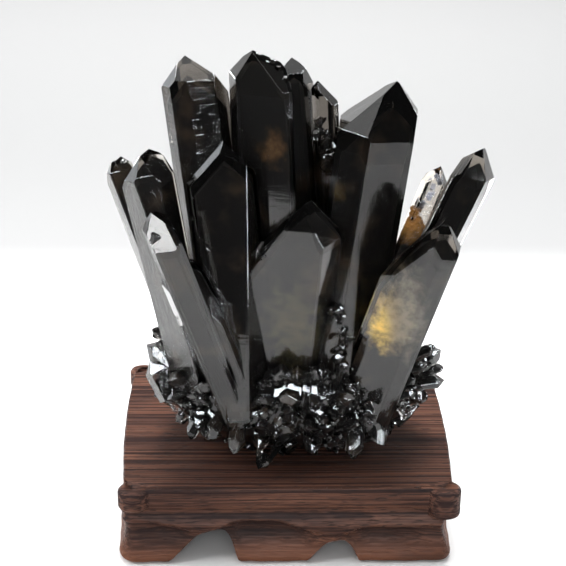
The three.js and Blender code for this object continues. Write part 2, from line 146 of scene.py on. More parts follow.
# Small crystals that stand out from the druse: tip, foot, half width and roll.
LOOSE = (
    ((-10.5, -32, 31), (2, -20, 42), 3.5, 0),
    ((-43.5, -5.5, 57), (-36, -12, 44.5), 4.2, 10),
    ((-45, -3, 60), (-34, -7, 53), 3.6, 34),
    ((-40, -4, 65), (-33, -7, 51), 3.2, 51),
    ((-31, -24, 36), (-25, -17, 46), 2.0, 8),
    ((49.5, -5, 57.5), (36, -7, 51), 2.6, 25),
    ((50, -6, 52.5), (36, -7, 48), 1.9, 42),
    ((51.5, -4, 46), (37, -7, 46), 2.3, 59),
    ((15.5, -27, 66.5), (13, -22, 51), 1.5, 16),
    ((19, -20, 80), (16, -15, 58), 3.4, 33),
    ((-24, -20, 78), (-17, -14, 54), 2.6, 50),
    ((9.5, 6, 126), (13.5, 0, 96), 3.0, 7),
    ((45, -20, 68), (34, -17, 60), 1.8, 24),
    ((-16, -30.5, 34), (-15, -19, 43), 2.8, 41),
    ((-25, -27.5, 38), (-19, -18, 45), 2.4, 58),
    ((20, -31, 33), (21, -19, 42), 2.6, 15),
    ((30, -28.5, 36), (25, -18, 44), 2.6, 32),
    ((-40.4, -34.6, 112.4), (-38.2, -31, 109), 1.9, 5),
)

BIG_BEVEL, SMALL_BEVEL = 0.16, 0.15
# Chips and cracks cut from the crystals, as thin prisms: tip, foot and half width.
CHIPS = (
    ((-10.5, -3.4, 155.6), (-8.5, -0.5, 153.2), 0.7),
    ((-7.6, -4.6, 153.4), (-5.5, -1.6, 151.6), 0.9),
    ((-5.0, -6.4, 151.8), (-3.6, -2.8, 149.6), 0.8),
    ((-2.8, -8.6, 149.8), (-1.2, -5.4, 147.2), 0.9),
    ((-0.2, -12.4, 146.4), (0.2, -8.0, 145.4), 0.8),
    ((0.6, -9.6, 141.5), (1.6, -13.0, 140.2), 0.6),
    ((-53.8, -5.6, 122.2), (-50.6, 2.0, 121.0), 1.1),
    ((-50.4, -5.0, 121.6), (-48.6, 1.0, 119.2), 0.7),
    ((-56.2, -3.4, 119.4), (-53.2, 0.5, 117.6), 0.7),
    ((-6.0, -24.6, 95.3), (-13.0, -23.7, 91.2), 0.32),
    ((18.5, -22.4, 137.5), (17.0, -26.2, 135.4), 0.5),
    ((44.2, -33.8, 112.6), (46.4, -28.0, 112.0), 0.5),
)
# Flakes sealed in the clear crystal, lit by painted light: the stretch they lie in, how many, and their half
# width.
FLAKES = ((38.5, 0.0, 101), (44.6, 1.4, 114), 14, 0.75)

# Stand: the slab's half width and half depth, how far its short sides bulge, and its corner radius.
SLAB_HALF = (50.1, 36.3)
SLAB_BULGE = 1.7
CORNER = 3.2
# How far the carved side stands out from the slab's edge at each height, at the front and back, left, right.
APRON_HEIGHTS = (0, 1.0, 2.6, 5.5, 8, 10.5, 12.8, 13.9, 15.0, 16.2, 17.6, 19.2)
APRON_FRONT = (0.7, 1.9, 2.3, 2.2, 1.9, 1.5, 1.3, 1.0, 0.2, -0.8, -1.4, -1.3)
APRON_LEFT = (0.7, 1.8, 2.0, 1.8, 1.5, 1.3, 1.1, 0.9, 0.6, 0.2, -0.6, -1.8)
APRON_RIGHT = (0.1, 0.8, 0.9, 0.2, -0.7, -1.8, -2.8, -3.3, -3.8, -4.1, -4.2, -4.3)
# The ridge along the front where the ledge ends and the scooped feet begin: distance along, and height.
RIDGE = ((-52, 15.5), (-42, 14.6), (-33.9, 13.3), (-30.2, 12.1), (-27.1, 12.5), (-22.5, 13), (-17.9, 14.3),
         (-14.8, 14.9), (-8.7, 15.2), (-1.6, 14.6), (3.7, 12.7), (8.3, 11.1), (13, 10), (14.6, 9.8),
         (17.6, 11.1), (20.7, 12.2), (25.3, 13), (34.6, 12.9), (42, 13.2), (52, 14))
# How deep the feet are scooped out below the ridge, along the front.
SCOOP = ((-52, 1.0), (-45, 2.2), (-38, 2.9), (-31, 1.8), (-25, 0.9), (-20, 2.2), (-14, 3.6), (-6, 4.0),
         (2, 3.5), (9, 1.7), (14.5, 0.6), (19, 1.9), (26, 3.5), (36, 3.2), (44, 2.0), (52, 1.0))
SIDE_SCOOP = ((-40, 0.8), (-28, 1.6), (-20, 1.2), (-6, 0.3), (5, 0.3), (16, 1.2), (28, 1.8), (40, 0.8))
ARCHES = (
    ((-37.8, 0), (-35.6, 2.1), (-31.2, 6.4), (-27.8, 10), (-24, 11.8), (-20.8, 11.8), (-18.6, 10), (-16.7, 6),
     (-15, 0)),
    ((5.2, 0), (7.9, 3), (11.5, 6.6), (13.9, 8.1), (16.4, 8.3), (18.3, 7.4), (20.9, 4.5), (22.6, 0)),
)
SIDE_ARCH = ((-19, 0), (-13, 5.2), (-6, 9.8), (4, 9.6), (12, 5), (15.5, 0))
# Corner lugs: centre, half width, half depth, bottom and top.
EARS = ((-47.6, -35.2, 4.6, 3.5, 19.2, 26.8), (48.2, -35.2, 4.9, 3.7, 16.2, 26.8),
        (-47.6, 35.2, 4.4, 3.5, 19.6, 26.8), (47.8, 35.2, 4.6, 3.5, 18.4, 26.6))
EAR_ROUND = 1.6
GROOVE_DEPTH = 1.7
WALL = 7.5                           # thickness of the carved sides
CAVITY_HEIGHT = 13.0
RIM_STEP, CORNER_STEPS = 0.62, 16    # spacing of the points round the rim, and how many turn each corner
# The stand's rings of points: how far in on the top, then height and inset down the slab's edge, then the
# heights down the carved sides.
TOP_INSETS = (26, 20, 15, 12, 10, 8.6, 7.4, 6.4, 5.5, 4.7, 4.0, 3.3, 2.7, 2.1, 1.6)
EDGE_RINGS = ((26.93, 0.9), (26.75, 0.45), (26.4, 0.15), (26.0, 0.0), (25.4, 0), (24.6, 0), (23.8, 0),
              (22.9, 0), (22, 0), (21.2, 0), (20.6, 0.02), (20.1, 0.12), (19.75, 0.35), (19.5, 0.7))
SIDE_HEIGHTS = (19.2, 18.6, 18, 17.4, 16.8, 16.2, 15.7, 15.2, 14.6, 14, 13.3, 12.6, 11.8, 11, 10.2, 9.4, 8.6,
                7.8, 7, 6.2, 5.4, 4.6, 3.8, 3, 2.2, 1.5, 0.9, 0.4, 0.0)


# ---------------------------------------------------------------- flat-sided solids

def unit(v):
    v = np.asarray(v, float)
    return v / np.linalg.norm(v)


def crystal_frame(tip, foot, roll):
    """The long axis and the function that gives the direction to face k."""
    axis = unit(np.subtract(tip, foot))
    front = np.array([0, -1.0, 0])
    front = unit(front - (front @ axis) * axis)
    side = np.cross(axis, front)

    def outward(k, extra=0.0):
        angle = math.radians(roll + 60 * k + extra)
        return math.cos(angle) * front + math.sin(angle) * side

    return axis, outward


def crystal_planes(tip, foot, roll, sides, caps, slope=None, turn=None, taper=None, extra=(), inset=None):
    """Normals and reaches of the faces: six round the prism, six that close it, the foot and any extra.

    inset, if given, is how far inside the sides, the caps and the foot the faces lie.
    """
    slope, turn, taper = slope or {}, turn or {}, taper or {}
    axis, outward = crystal_frame(tip, foot, roll)
    tip = np.asarray(tip, float)
    normals, reaches = [], []
    for k in range(6):
        out = outward(k)
        lean = math.radians(taper.get(k, 0))
        n = math.cos(lean) * out + math.sin(lean) * axis
        normals.append(n)
        reaches.append(n @ (tip + sides[k] * out))
    for k in range(6):
        tilt = math.radians(slope.get(k, CAP_SLOPE))
        n = math.sin(tilt) * outward(k, turn.get(k, 0)) + math.cos(tilt) * axis
        normals.append(n)
        reaches.append(n @ (tip - caps[k] * axis))
    normals.append(-axis)
    reaches.append(-axis @ np.asarray(foot, float))
    for around, distance, lean in extra:
        n = math.cos(math.radians(lean)) * outward(0, around) + math.sin(math.radians(lean)) * axis
        normals.append(n)
        reaches.append(n @ (tip + distance * outward(0, around)))
    reaches = np.array(reaches)
    if inset:
        reaches[:6] -= inset[0]
        reaches[6:12] -= inset[1]
        reaches[12] -= inset[2]
        reaches[13:] -= inset[0]
    return np.array(normals), reaches


TRIPLES = {}


def corners_of(normals, reaches):
    """The corners of the solid inside the planes, and the three planes that meet at each."""
    count = len(normals)
    if count not in TRIPLES:
        TRIPLES[count] = np.array(list(itertools.combinations(range(count), 3)))
    triples = TRIPLES[count]
    a, b, c = (normals[triples[:, i]] for i in range(3))
    bc, ca, ab = np.cross(b, c), np.cross(c, a), np.cross(a, b)
    det = np.einsum("ij,ij->i", a, bc)
    good = np.abs(det) > 1e-6
    ra, rb, rc = (reaches[triples[:, i]][:, None] for i in range(3))
    points = (bc * ra + ca * rb + ab * rc)[good] / det[good][:, None]
    triples = triples[good]
    inside = np.all(points @ normals.T <= reaches + 1e-6, axis=1)
    return points[inside], triples[inside]


def flat_sided(normals, reaches, near=2e-3):
    """Corners and face loops (plane number, corner numbers) of the solid inside the planes."""
    points, triples = corners_of(normals, reaches)
    kept, index = [], np.zeros(len(points), int)
    for i, p in enumerate(points):
        for j, q in enumerate(kept):
            if np.abs(p - q).max() < near:
                index[i] = j
                break
        else:
            index[i] = len(kept)
            kept.append(p)
    kept = np.array(kept)
    loops = []
    for plane in range(len(normals)):
        used = np.unique(index[(triples == plane).any(axis=1)])
        if len(used) < 3:
            continue
        corner = kept[used]
        centre = corner.mean(0)
        across = unit(np.cross(normals[plane], (0.31, 0.52, 0.79)))
        along = np.cross(normals[plane], across)
        angle = np.arctan2((corner - centre) @ along, (corner - centre) @ across)
        loops.append((plane, used[np.argsort(angle)]))
    return kept, loops


def bevelled(normals, reaches, width):
    """The planes again, with a narrow extra plane along each edge."""
    corners, loops = flat_sided(normals, reaches)
    edges = {}
    for plane, loop in loops:
        for i, j in zip(loop, np.roll(loop, -1)):
            edges.setdefault((min(i, j), max(i, j)), []).append(plane)
    extra_n, extra_r = [], []
    for (i, j), planes in edges.items():
        if len(planes) != 2:
            continue
        a, b = normals[planes[0]], normals[planes[1]]
        cosine = float(a @ b)
        if cosine > 0.995 or np.linalg.norm(corners[i] - corners[j]) < 4 * width:
            continue
        half = math.acos(max(-1.0, min(1.0, cosine))) / 2
        n = unit(a + b)
        extra_n.append(n)
        extra_r.append(n @ corners[i] - width * math.tan(half) / 2)
    return np.vstack([normals, extra_n]), np.concatenate([reaches, extra_r])


def mesh_from(name, pieces):
    """One mesh of several closed solids, each as (corners, loops), in metres in the model's frame."""
    corners, faces, start = [], [], 0
    for points, loops in pieces:
        corners.append(points)
        faces += [[int(i) + start for i in loop] for _, loop in loops]
        start += len(points)
    placed = (np.vstack(corners) + (CENTRE_SHIFT, 0, 0)) * MM
    mesh = bpy.data.meshes.new(name)
    mesh.from_pydata(placed.tolist(), [], faces)
    mesh.validate()
    return mesh


def add_object(name, mesh):
    thing = bpy.data.objects.new(name, mesh)
    bpy.context.scene.collection.objects.link(thing)
    return thing


def combine(base, others, operation):
    """base with every mesh in others joined to it or cut from it."""
    body = add_object("combining", base)
    for mesh in others:
        tool = add_object("tool", mesh)
        step = body.modifiers.new("step", "BOOLEAN")
        step.operation, step.solver, step.object = operation, "MANIFOLD", tool
        graph = bpy.context.evaluated_depsgraph_get()
        made = bpy.data.meshes.new_from_object(body.evaluated_get(graph))
        body.modifiers.clear()
        body.data = made
        bpy.data.objects.remove(tool)
    result = body.data
    bpy.data.objects.remove(body)
    return result


def batches(solids, margin=0.3):
    """The solids as a few meshes in each of which none touches another, so that each joins in one step."""
    boxes = [(points.min(0) - margin, points.max(0) + margin) for points, _ in solids]
    groups = []
    for i, (low, high) in enumerate(boxes):
        for group in groups:
            if all(np.any(high < boxes[j][0]) or np.any(low > boxes[j][1]) for j in group):
                group.append(i)
                break
        else:
            groups.append([i])
    return [mesh_from("batch", [solids[i] for i in group]) for group in groups]


# ---------------------------------------------------------------- the crystals

def mound_half_width(height):
    heights = [h for _, h in MOUND_PROFILE]
    return float(np.interp(height, heights, [w for w, _ in MOUND_PROFILE]))


def mound_solid():
    """The rounded mass that the crystals grow from, as rings of corners and flat facets."""
    angles = np.arange(MOUND_SIDES) * 2 * math.pi / MOUND_SIDES
    rings = [np.stack([MOUND_CENTRE[0] + w * np.cos(angles),
                       MOUND_CENTRE[1] + w * MOUND_ASPECT * np.sin(angles),
                       np.full(MOUND_SIDES, STAND_TOP + h)], axis=1) for w, h in MOUND_PROFILE]
    loops = [(0, np.arange(MOUND_SIDES)[::-1])]
    for r in range(len(rings) - 1):
        for s in range(MOUND_SIDES):
            t = (s + 1) % MOUND_SIDES
            a, b = r * MOUND_SIDES, (r + 1) * MOUND_SIDES
            loops.append((0, np.array([a + s, a + t, b + t, b + s])))
    loops.append((0, np.arange(MOUND_SIDES) + (len(rings) - 1) * MOUND_SIDES))
    return np.vstack(rings), loops


def ring_crystals():
    """The druse's own rings of small crystals, as tip, foot, half width and roll."""
    state = DRUSE_SEED

    def random():
        nonlocal state
        state = (state * 1664525 + 1013904223) % 2**32
        return state / 2**32

    def spread(amount):
        return (2 * random() - 1) * amount

    found = []
    for height, count, lift, reach, radius in DRUSE_RINGS:
        half = mound_half_width(height)
        for i in range(count):
            even = math.radians(360 * (i + 0.5 * random()) / count)
            around = even + OVAL_SPACING * math.sin(2 * even)
            root = np.array([MOUND_CENTRE[0] + half * math.cos(around),
                             MOUND_CENTRE[1] + half * MOUND_ASPECT * math.sin(around), STAND_TOP + height])
            outward = math.atan2(math.sin(around), MOUND_ASPECT * math.cos(around))
            heading = outward + math.radians(spread(34))
            up = math.radians(lift + spread(24))
            direction = np.array([math.cos(heading) * math.cos(up), math.sin(heading) * math.cos(up),
                                  math.sin(up)])
            length = reach * (1 + spread(0.4))
            width = RING_NARROW * radius * (1 + spread(0.35))
            found.append((root + direction * length, root - direction * DRUSE_ROOT, width, 60 * random()))
    return found


def fine_crystals(rng):
    """The finest crystals, as tip, foot, half width and roll: all over the mound, then along the seams."""
    found = []

    def sprout(root, heading, reach, radius, buried):
        way = unit(np.asarray(heading) + rng.normal(0, 0.42, 3))
        length = reach * rng.uniform(0.6, 1.5)
        tip = root + way * length
        if tip[2] > STAND_TOP + 0.6:
            found.append((tip, root - way * buried, radius * rng.uniform(0.6, 1.35), rng.uniform(0, 60)))

    for _ in range(FINE_COUNT):
        height = rng.uniform(1.5, 35)
        around = rng.uniform(0, 2 * math.pi)
        half = mound_half_width(height) + rng.uniform(-0.5, 3.0)
        root = np.array([MOUND_CENTRE[0] + half * math.cos(around),
                         MOUND_CENTRE[1] + half * MOUND_ASPECT * math.sin(around), STAND_TOP + height])
        heading = (MOUND_ASPECT * math.cos(around), math.sin(around), -0.1 + height / 28)
        sprout(root, unit(heading), 2.6, 1.15, 3.5)
    for start, end, count, stray, reach, radius in SEAMS:
        for _ in range(count):
            root = np.array(start) + rng.random() * np.subtract(end, start) + rng.normal(0, stray / 2, 3)
            heading = unit((root[0] - MOUND_CENTRE[0], 1.4 * (root[1] - MOUND_CENTRE[1]), 14))
            sprout(root, heading, reach, radius, 2.5)
    return found


def small_ones(rng):
    """Every crystal smaller than the named big ones, as tip, foot, half width and roll."""
    return list(LOOSE) + ring_crystals() + fine_crystals(rng)


def big_solid(shape):
    return flat_sided(*bevelled(*crystal_planes(**shape), BIG_BEVEL))


def quartz_solids(rng):
    """Every crystal as (corners, loops), and the dark heart of each small one that is thick enough."""
    solids = [big_solid(shape) for key, shape in BIG.items() if key != CLEAR_KEY]
    hearts = []
    for tip, foot, radius, roll in small_ones(rng):
        sides = radius * rng.uniform(0.72, 1.12, 6)
        caps = radius * rng.uniform(-0.1, 0.7, 6)
        caps[rng.integers(6)] = 0
        solids.append(flat_sided(*bevelled(*crystal_planes(tip, foot, roll, sides, caps), SMALL_BEVEL)))
        if SMALL_HEART < radius < LARGE_HEART:
            hearts.append(flat_sided(*crystal_planes(tip, foot, roll, sides, caps, inset=SMALL_INSET)))
    return solids, whole_ones(hearts)


def whole_ones(solids):
    """The solids that are real bodies: one set too far in shrinks to a sliver or to nothing."""
    return [solid for solid in solids if len(solid[0]) > 5]


def grown_together():
    """All the quartz that grew together as one closed mesh, level where it rests, and the small hearts."""
    solids, small_hearts = quartz_solids(np.random.default_rng(7))
    whole = combine(mesh_from("quartz", [mound_solid()]), batches(solids), "UNION")
    far = (-120, 120)                # well past the cluster on every side
    block = np.array([[x, y, z] for x in far for y in far for z in (-60, STAND_TOP)], float)
    loops = [(0, np.array(f)) for f in ((0, 1, 3, 2), (4, 6, 7, 5), (0, 4, 5, 1), (2, 3, 7, 6),
                                        (0, 2, 6, 4), (1, 5, 7, 3))]
    cutters = [flat_sided(*crystal_planes(tip, foot, 20 * i, [radius] * 6, [0] * 6))
               for i, (tip, foot, radius) in enumerate(CHIPS)]
    cuts = [mesh_from("cut", [cutter]) for cutter in cutters]
    return combine(whole, [mesh_from("below", [(block, loops)])] + cuts, "DIFFERENCE"), small_hearts


def flakes():
    """The thin flakes sealed in the clear crystal, which painted light in the hearts makes bright."""
    rng = np.random.default_rng(3)
    start, end, count, radius = FLAKES
    solids = []
    for _ in range(count):
        middle = np.array(start) + rng.random() * np.subtract(end, start) + rng.normal(0, 0.45, 3)
        way = unit(rng.normal(0, 1, 3) + (0.5, 0, 1.5)) * radius * rng.uniform(0.8, 1.8)
        sides = radius * rng.uniform(0.3, 1.1, 6)
        roll = rng.uniform(0, 60)
        solids.append(flat_sided(*crystal_planes(middle + way, middle - way, roll, sides, [0] * 6)))
    return whole_ones(solids)


# ---------------------------------------------------------------- the stand

def smooth(value, low, high):
    t = np.clip((np.asarray(value, float) - low) / (high - low), 0, 1)
    return t * t * (3 - 2 * t)


def at(pairs, value):
    """The height of a line through (distance, height) pairs, rounded at its corners."""
    xs, ys = np.array(pairs, float).T
    spread = np.array([-0.9, -0.45, 0, 0.45, 0.9])
    return np.mean([np.interp(np.asarray(value) + d, xs, ys, left=0, right=0) for d in spread], axis=0)


def rim_points():
    """Points round the slab's edge from the front left corner, and the outward direction at each."""
    places, outwards = [], []
    w, d = SLAB_HALF[0] - CORNER, SLAB_HALF[1] - CORNER
    runs = ((-w, -d - CORNER, 1, 0, 2 * w), (w + CORNER, -d, 0, 1, 2 * d), (w, d + CORNER, -1, 0, 2 * w),
            (-w - CORNER, d, 0, -1, 2 * d))
    for number, (x, y, dx, dy, length) in enumerate(runs):
        steps = int(length / RIM_STEP)
        for i in range(steps):
            along = length * i / steps
            places.append((x + dx * along, y + dy * along))
            outwards.append((dy, -dx))
        turn = math.radians(90 * number - 90)
        cx, cy = ((w, -d), (w, d), (-w, d), (-w, -d))[number]
        for i in range(CORNER_STEPS):
            angle = turn + math.radians(90) * i / CORNER_STEPS
            places.append((cx + CORNER * math.cos(angle), cy + CORNER * math.sin(angle)))
            outwards.append((math.cos(angle), math.sin(angle)))
    return np.array(places), np.array(outwards)


NO_EAR = -9.0                        # stands for no lug in this direction


def ear_reach(places, outwards, height):
    """How far past the slab's edge the corner lugs stand, in each rim point's outward direction."""
    best = np.full(len(places), NO_EAR)
    for x, y, half_w, half_d, bottom, top in EARS:
        if not bottom < height < top:
            continue
        edge = min(height - bottom, top - height, EAR_ROUND)
        shrink = EAR_ROUND - math.sqrt(max(0.0, EAR_ROUND**2 - (EAR_ROUND - edge) ** 2))
        size = np.array([half_w - shrink, half_d - shrink])
        p, v = (places - (x, y)) / size, outwards / size
        a, b, c = (v * v).sum(1), (p * v).sum(1), (p * p).sum(1) - 1
        inside = b * b - a * c
        reach = np.where(inside > 0, (-b + np.sqrt(np.maximum(inside, 0))) / a, NO_EAR)
        best = np.maximum(best, reach)
    return best


def wood_waver(places, height, size=0.16):
    """The small unevenness that carving by hand leaves."""
    x, y = places.T
    return size * (np.sin(x * 0.31 + height * 0.5) * np.sin(y * 0.27 + 1.3)
                   + 0.5 * np.sin(x * 0.83 + y * 0.71 + height * 0.9 + 2.1))


def stand_mesh():
    """The stand as one closed skin: rings from the middle of the top, down the sides and up underneath."""
    places, outwards = rim_points()
    x, y = places.T
    nx, ny = outwards.T
    front = ny**2 / (nx**2 + ny**2)                    # 1 along the front and back, 0 along the sides
    bulge = SLAB_BULGE * (1 - front) * (1 - (y / SLAB_HALF[1]) ** 2)
    arch = np.zeros(len(x))
    for pairs in ARCHES:
        arch = np.maximum(arch, np.where(front > 0.99, at(pairs, x), 0))
    arch = np.maximum(arch, np.where(front < 0.01, at(SIDE_ARCH, y), 0))
    ridge = np.interp(x, *np.array(RIDGE, float).T) * front + 14.0 * (1 - front)
    scoop = np.interp(x, *np.array(SCOOP, float).T) * front
    scoop = scoop + np.interp(y, *np.array(SIDE_SCOOP).T) * (1 - front)

    def ring(height, offset):
        flat = places + outwards * np.asarray(offset)[:, None]
        return np.column_stack([flat, np.broadcast_to(height, len(x))])

    def slab_ring(height, inset):
        edge = bulge - inset + wood_waver(places, height, 0.07)
        ear = ear_reach(places, outwards, height)
        blend = 0.5 * (edge + ear + np.sqrt((edge - ear) ** 2 + 2.5))
        return ring(height, np.where(ear > NO_EAR / 2, np.maximum(blend - 0.25, edge), edge))

    def apron_ring(height):
        level = arch + (height / 15.0) * (15.0 - arch) if height < 15.0 else np.full(len(x), float(height))
        ahead, left, right = (np.interp(level, APRON_HEIGHTS, row)
                              for row in (APRON_FRONT, APRON_LEFT, APRON_RIGHT))
        offset = ahead * front + np.where(nx < 0, left, right) * (1 - front)
        below = np.clip((ridge - level) / np.maximum(ridge - 2.0, 1), 0, 1)
        hollow = np.where(below > 0, np.sin(np.pi * below**0.6), 0) * scoop
        edge = offset - hollow + bulge * 0.6 + wood_waver(places, height)
        near_lugs = [np.where(np.isclose(level, h, atol=0.35), ear_reach(places, outwards, h), NO_EAR)
                     for h in np.arange(16.0, 19.6, 0.35)]
        ear = np.maximum.reduce(near_lugs)
        return ring(level, np.maximum(edge, ear))

    rings = []
    rim = slab_ring(26.9, 0)[:, :2]
    for inset in TOP_INSETS:
        middle = np.column_stack([x * (1 - inset / 60), y * (1 - inset / 44)])
        share = smooth(inset, 0, 7)
        flat = rim * (1 - share) + middle * share
        rings.append(np.column_stack([flat, top_height(flat)]))
    rings += [slab_ring(height, inset) for height, inset in EDGE_RINGS]
    rings += [apron_ring(height) for height in SIDE_HEIGHTS]
    under = rings[-1].copy()
    under[:, :2] -= outwards * 0.8
    rings.append(under)
    rings += [np.column_stack([places - outwards * depth, arch]) for depth in (2.5, WALL)]
    for share in (0.35, 0.7, 1.0):
        flat = places - outwards * (WALL + 0.4)
        rings.append(np.column_stack([flat, arch + (CAVITY_HEIGHT - arch) * share]))
    for inset in (14, 24):
        middle = np.column_stack([x * (1 - inset / 56), y * (1 - inset / 42)])
        rings.append(np.column_stack([middle, np.full(len(x), CAVITY_HEIGHT)]))
    mesh = ring_mesh("wooden_stand_looks", rings)
    # Painted shade: how far each point darkens, kept in the hollow attribute that the wood's colour reads.
    depth = np.concatenate([shade_of(r, places, outwards) for r in rings])
    layer = mesh.attributes.new("hollow", "FLOAT", "POINT")
    layer.data.foreach_set("value", depth.astype(np.float32))
    return mesh


def shade_of(ring, places, outwards):
    """How much painted shade each point gets, from 0 to 1: deep in the cove, in the scoops and under the
    stand.
    """
    out = ((ring[:, :2] - places) * outwards).sum(1)
    height = ring[:, 2]
    cove = smooth(-out, 0.6, 2.6) * smooth(height, 15, 16.5) * (1 - smooth(height, 19.3, 20.4))
    scooped = smooth(0.9 - out, 0, 2.4) * smooth(height, 2, 5) * (1 - smooth(height, 13.2, 15))
    return np.clip(np.maximum(0.35 * cove, 0.85 * scooped), 0, 1)


def top_height(flat):
    """The height of the slab's top: level, with V-shaped cuts that part the lugs from it."""
    x, y = flat.T
    height = np.full(len(x), STAND_TOP)
    for across in (-1, 1):
        for along in (-1, 1):
            start = np.array([across * 51.5, along * 33.0])
            end = np.array([across * 40.5, along * 37.2])
            way = end - start
            share = np.clip(((flat - start) @ way) / (way @ way), 0, 1)
            gap = np.linalg.norm(flat - start - share[:, None] * way, axis=1)
            height = height - GROOVE_DEPTH * np.exp(-(gap / 0.95) ** 2)
    return height - 0.03 * (1 + np.sin(y * 2.1 + 0.4 * np.sin(x * 0.09)))


def ring_mesh(name, rings):
    """A closed skin through rings of equally many points, filled at both ends."""
    count = len(rings[0])
    corners = np.vstack(rings)
    faces = [list(range(count))]
    for r in range(len(rings) - 1):
        a, b = r * count, (r + 1) * count
        for i in range(count):
            j = (i + 1) % count
            faces.append([a + i, b + i, b + j, a + j])
    faces.append([(len(rings) - 1) * count + i for i in range(count)][::-1])
    mesh = bpy.data.meshes.new(name)
    mesh.from_pydata(((corners + (CENTRE_SHIFT, 0, 0)) * MM).tolist(), [], faces)
    mesh.validate()
    return mesh


# ---------------------------------------------------------------- dark hearts and streaks

# How far inside its faces a crystal's dark heart lies: under the sides, under the caps and above the foot.
HEART_INSET = (1.9, 3.6, 3.0)
HEARTS = {"A": (1.8, 4.5, 3), "B": (1.2, 2.2, 3), "D": (2.2, 6.0, 3), "G": (1.0, 3.0, 3), "H": (1.3, 2.5, 3),
          "C2": (1.2, 8.0, 3), "K": (0.9, 1.4, 3), "J": (1.0, 2.0, 3), "La": (1.5, 3.0, 3),
          "Lb": (1.5, 3.0, 3), "F": (0.7, 10, 3)}
# Patches of painted light in the dark hearts, most of them warm: place, size and colour.
GLOWS = (
    ((28.5, -27.5, 81), (8, 8, 13), (0.50, 0.33, 0.10)),
    ((26.6, -27, 77), (4.5, 7, 8), (1.0, 0.66, 0.12)),
    ((34, -27, 84), (7, 8, 18), (0.26, 0.22, 0.16)),
    ((-4.8, -9, 128.5), (5, 6, 7), (0.13, 0.07, 0.03)),
    ((42, -9, 92), (3.5, 5, 9), (0.11, 0.035, 0.018)),
    ((37.5, -1, 99), (6.5, 6, 7.5), (0.62, 0.29, 0.07)),
    # painted light, cold and white, over the flakes in the clear crystal
    ((42.3, 0, 109), (4.5, 6, 7), (0.80, 0.84, 1.0)),
    ((1, -22, 76), (11, 7, 18), (0.062, 0.050, 0.020)),
    ((13, -14, 116), (4, 7, 4), (0.10, 0.07, 0.03)),
)


def dark_hearts(small):
    """The dark smoky inside of the crystals, which stops short of their clear skins and tips."""
    large = [flat_sided(*crystal_planes(**shape, inset=HEARTS.get(key, HEART_INSET)))
             for key, shape in BIG.items()]
    above = [solid for solid in small if solid[0][:, 2].min() > STAND_TOP + 0.4]
    corners, loops = mound_solid()
    centre = np.array([MOUND_CENTRE[0], MOUND_CENTRE[1], STAND_TOP + 14])
    base = mesh_from("dark_hearts", [((corners - centre) * 0.93 + centre, loops)])
    return combine(base, batches(whole_ones(large) + flakes() + above), "UNION")


DRUSE_GLINT = 0.35                   # unevenness of the small crystals' faces
# Growth streaks on single faces: how deep those along the crystal are, and those across it.
STREAKS = {
    ("A", 0): (1.0, 2.6), ("A", 13): (0.1, 0.2), ("A", 5): (0.5, 0.8), ("J", 5): (1.8, 0.2),
    ("J", 0): (0.8, 0.2), ("K", 5): (0.8, 0.4), ("La", 5): (0.6, 0.1), ("D", 0): (0.25, 0.15),
    ("D", 5): (0.3, 0.2), ("F", 0): (2.0, 2.4), ("F", 5): (0.6, 0.6), ("G", 0): (0.15, 0.2),
    ("G", 13): (0.2, 0.2),
    ("C", 0): (0.3, 0.3), ("C2", 0): (0.5, 1.0), ("C2", 5): (0.3, 1.5), ("E", 0): (0.2, 0.2),
}


def mark_faces(mesh, keys):
    """Notes on each face of the mesh which way its crystal grew, so that its streaks follow the crystal."""
    count = len(mesh.polygons)
    centre, normal = np.zeros(count * 3), np.zeros(count * 3)
    mesh.polygons.foreach_get("center", centre)
    mesh.polygons.foreach_get("normal", normal)
    centre = centre.reshape(-1, 3) / MM - (CENTRE_SHIFT, 0, 0)
    normal = normal.reshape(-1, 3)
    axes, acrosses = np.zeros((count, 3)), np.zeros((count, 3))
    streaks = np.zeros((count, 3))
    axes[:, 2], acrosses[:, 0] = 1, 1
    streaks[:] = (DRUSE_GLINT, 0.5, 0.3 * DRUSE_GLINT)
    for number, key in enumerate(keys):
        shape = BIG[key]
        normals, reaches = crystal_planes(**shape)
        axis, _ = crystal_frame(shape["tip"], shape["foot"], shape["roll"])
        for k in range(len(normals)):
            on = (normal @ normals[k] > 0.9999) & (np.abs(centre @ normals[k] - reaches[k]) < 0.02)
            axes[on] = axis
            acrosses[on] = unit(np.cross(axis, normals[k]))
            deep, steps = STREAKS.get((key, k), (0.12, 0.1) if k < 6 else (0.05, 0.05))
            streaks[on] = (deep, number + 0.37 * k, steps)
    for name, values in (("axis", axes), ("across", acrosses), ("streak", streaks)):
        layer = mesh.attributes.new(name, "FLOAT_VECTOR", "FACE")
        layer.data.foreach_set("vector", values.astype(np.float32).ravel())


# ---------------------------------------------------------------- materials

